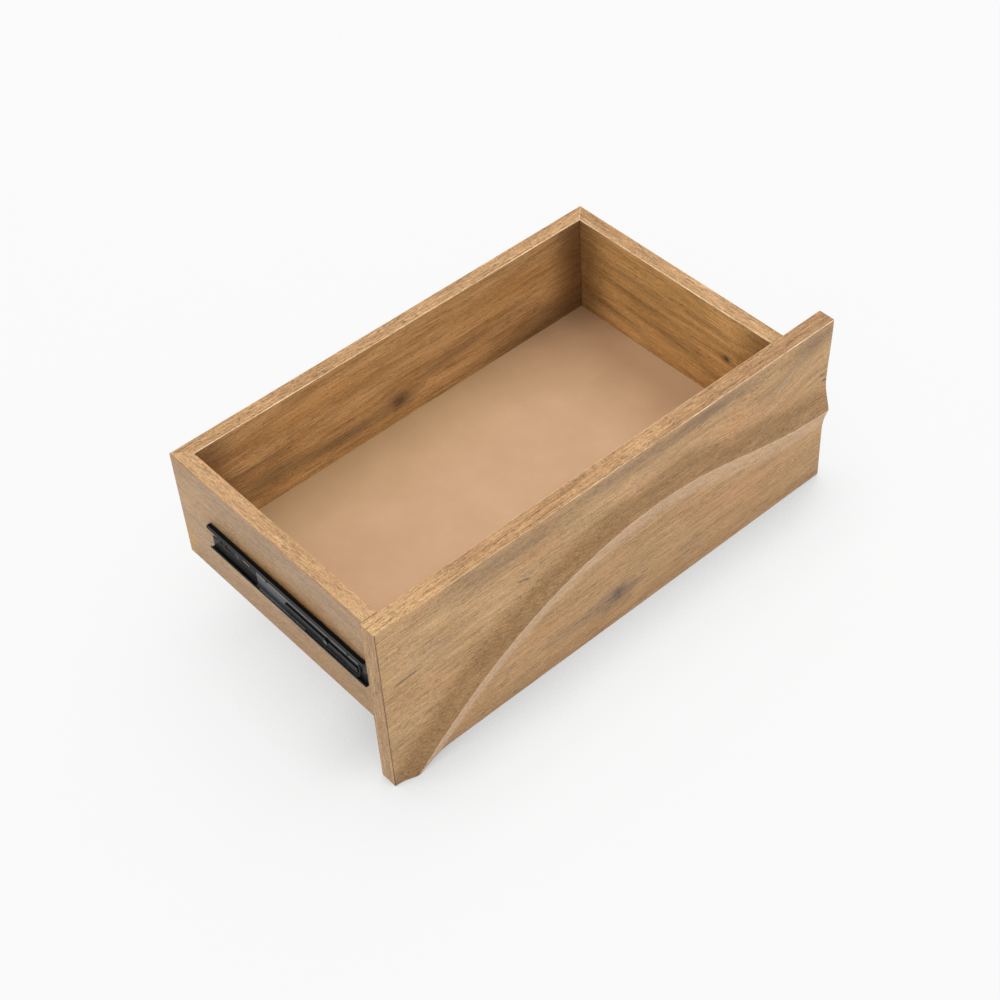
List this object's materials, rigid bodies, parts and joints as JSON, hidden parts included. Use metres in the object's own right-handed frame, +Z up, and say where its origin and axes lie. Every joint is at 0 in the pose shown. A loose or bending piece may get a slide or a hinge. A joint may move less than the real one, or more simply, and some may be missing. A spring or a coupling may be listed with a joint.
{
  "type": "drawer",
  "caption": "Wooden drawer with a carved wave across its front, a grooved-in bottom, mitred rear corners and a ball-bearing slide with a release lever on each side.",
  "frame": {"origin": "bottom centre of the whole drawer's box, at the level of the front panel's lower edge", "axes": "+X across the front to the right, +Y from the front to the rear, +Z up"},
  "size_m": [0.6234, 0.334, 0.231],
  "materials": {
    "front_oak": "oiled, carved",
    "box_oak": "oiled",
    "bottom_ply": "smooth, pale",
    "beech": "plain",
    "slide_black": "satin",
    "rail_grey": "satin",
    "bright_steel": "zinc plated",
    "ball_steel": "polished",
    "lever_plastic": "moulded",
    "bumper_rubber": "matte"
  },
  "bodies": {
    "drawer": {"front_panel": "front_oak", "left_side": "box_oak", "right_side": "box_oak", "back_board": "box_oak", "bottom_board": "bottom_ply", "left_front_dowels": "beech", "left_mitre_biscuits": "beech", "left_slide_channel": "slide_black", "left_channel_screws": "bright_steel", "left_stop_bumper": "bumper_rubber", "right_front_dowels": "beech", "right_mitre_biscuits": "beech", "right_slide_channel": "slide_black", "right_channel_screws": "bright_steel", "right_stop_bumper": "bumper_rubber"},
    "left_rail": {"left_cabinet_rail": "rail_grey", "left_lever_rivet": "bright_steel"},
    "left_cage": {"left_ball_cage": "bright_steel", "left_slide_balls": "ball_steel"},
    "left_lever": {"left_release_lever": "lever_plastic"},
    "right_rail": {"right_cabinet_rail": "rail_grey", "right_lever_rivet": "bright_steel"},
    "right_cage": {"right_ball_cage": "bright_steel", "right_slide_balls": "ball_steel"},
    "right_lever": {"right_release_lever": "lever_plastic"}
  },
  "joints": [
    {"name": "left_rail_slide", "type": "slide", "parent": "drawer", "child": "left_rail", "axis": [0, 1, 0], "range_m": [0, 0.16]},
    {"name": "left_cage_roll", "type": "slide", "parent": "drawer", "child": "left_cage", "axis": [0, 1, 0], "range_m": [0, 0.08]},
    {"name": "left_lever_press", "type": "hinge", "parent": "left_rail", "child": "left_lever", "pos_m": [-0.30915, -0.078, 0.153], "axis": [1, 0, 0], "range_deg": [0, 3], "stiffness_Nm_per_rad": 0.5},
    {"name": "right_rail_slide", "type": "slide", "parent": "drawer", "child": "right_rail", "axis": [0, 1, 0], "range_m": [0, 0.16]},
    {"name": "right_cage_roll", "type": "slide", "parent": "drawer", "child": "right_cage", "axis": [0, 1, 0], "range_m": [0, 0.08]},
    {"name": "right_lever_press", "type": "hinge", "parent": "right_rail", "child": "right_lever", "pos_m": [0.25965, -0.078, 0.153], "axis": [1, 0, 0], "range_deg": [0, 3], "stiffness_Nm_per_rad": 0.5}
  ],
  "couplings": [
    {"joint": "left_cage_roll", "follows": "left_rail_slide", "ratio": 0.5},
    {"joint": "right_cage_roll", "follows": "right_rail_slide", "ratio": 0.5}
  ]
}
